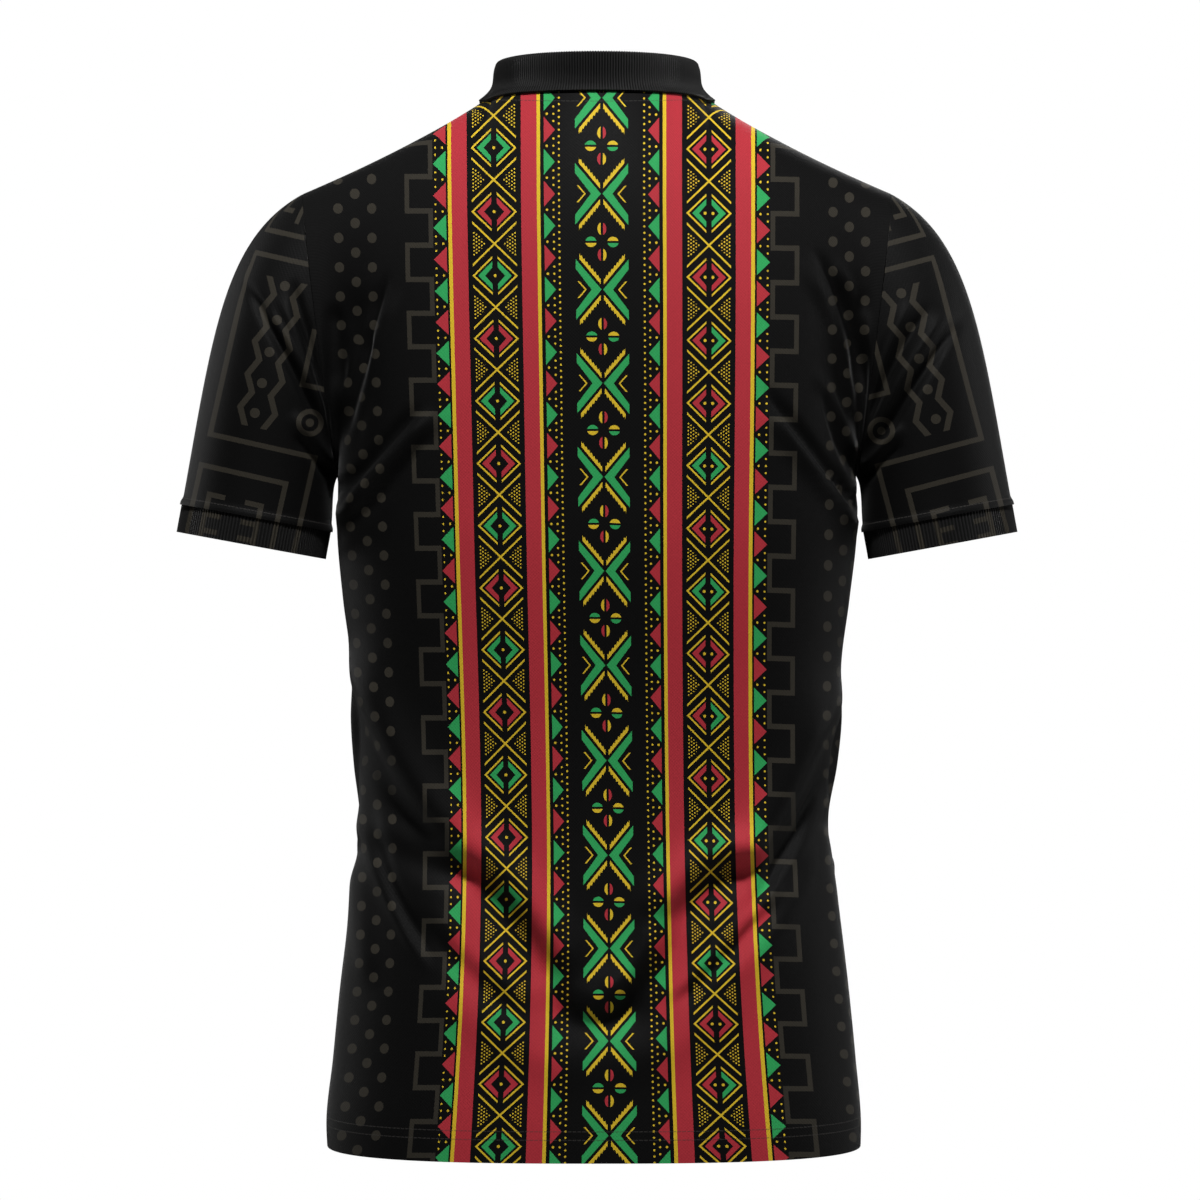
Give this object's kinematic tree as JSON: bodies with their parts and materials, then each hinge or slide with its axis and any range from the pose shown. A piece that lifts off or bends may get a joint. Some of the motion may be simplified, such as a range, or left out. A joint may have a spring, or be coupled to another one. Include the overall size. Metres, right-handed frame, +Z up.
{
  "type": "polo shirt",
  "caption": "Short-sleeved knit polo shirt, hollow and filled out as on a standing wearer, with a fold-over rib collar, a buttoned half placket, ribbed cuffs and a turned hem.",
  "frame": {"origin": "midway between the two points where a shoulder seam meets the collar, where the wearer's shoulders and neck hold the shirt", "axes": "+Z up, +X towards the wearer's left, -Y towards the front"},
  "size_m": [0.5624, 0.2223, 0.7229],
  "materials": {
    "pique": "matt printed cotton knit with a soft sheen",
    "rib": "matt black rib knit",
    "resin": "polished"
  },
  "bodies": {
    "root": {"back": "pique", "front": "pique", "sleeve_left": "pique", "sleeve_right": "pique", "placket_top": "pique", "placket_under": "pique", "cuff_left": "rib", "cuff_right": "rib", "collar": "rib", "button_1": "resin", "button_2": "resin", "button_3": "resin"}
  },
  "joints": []
}
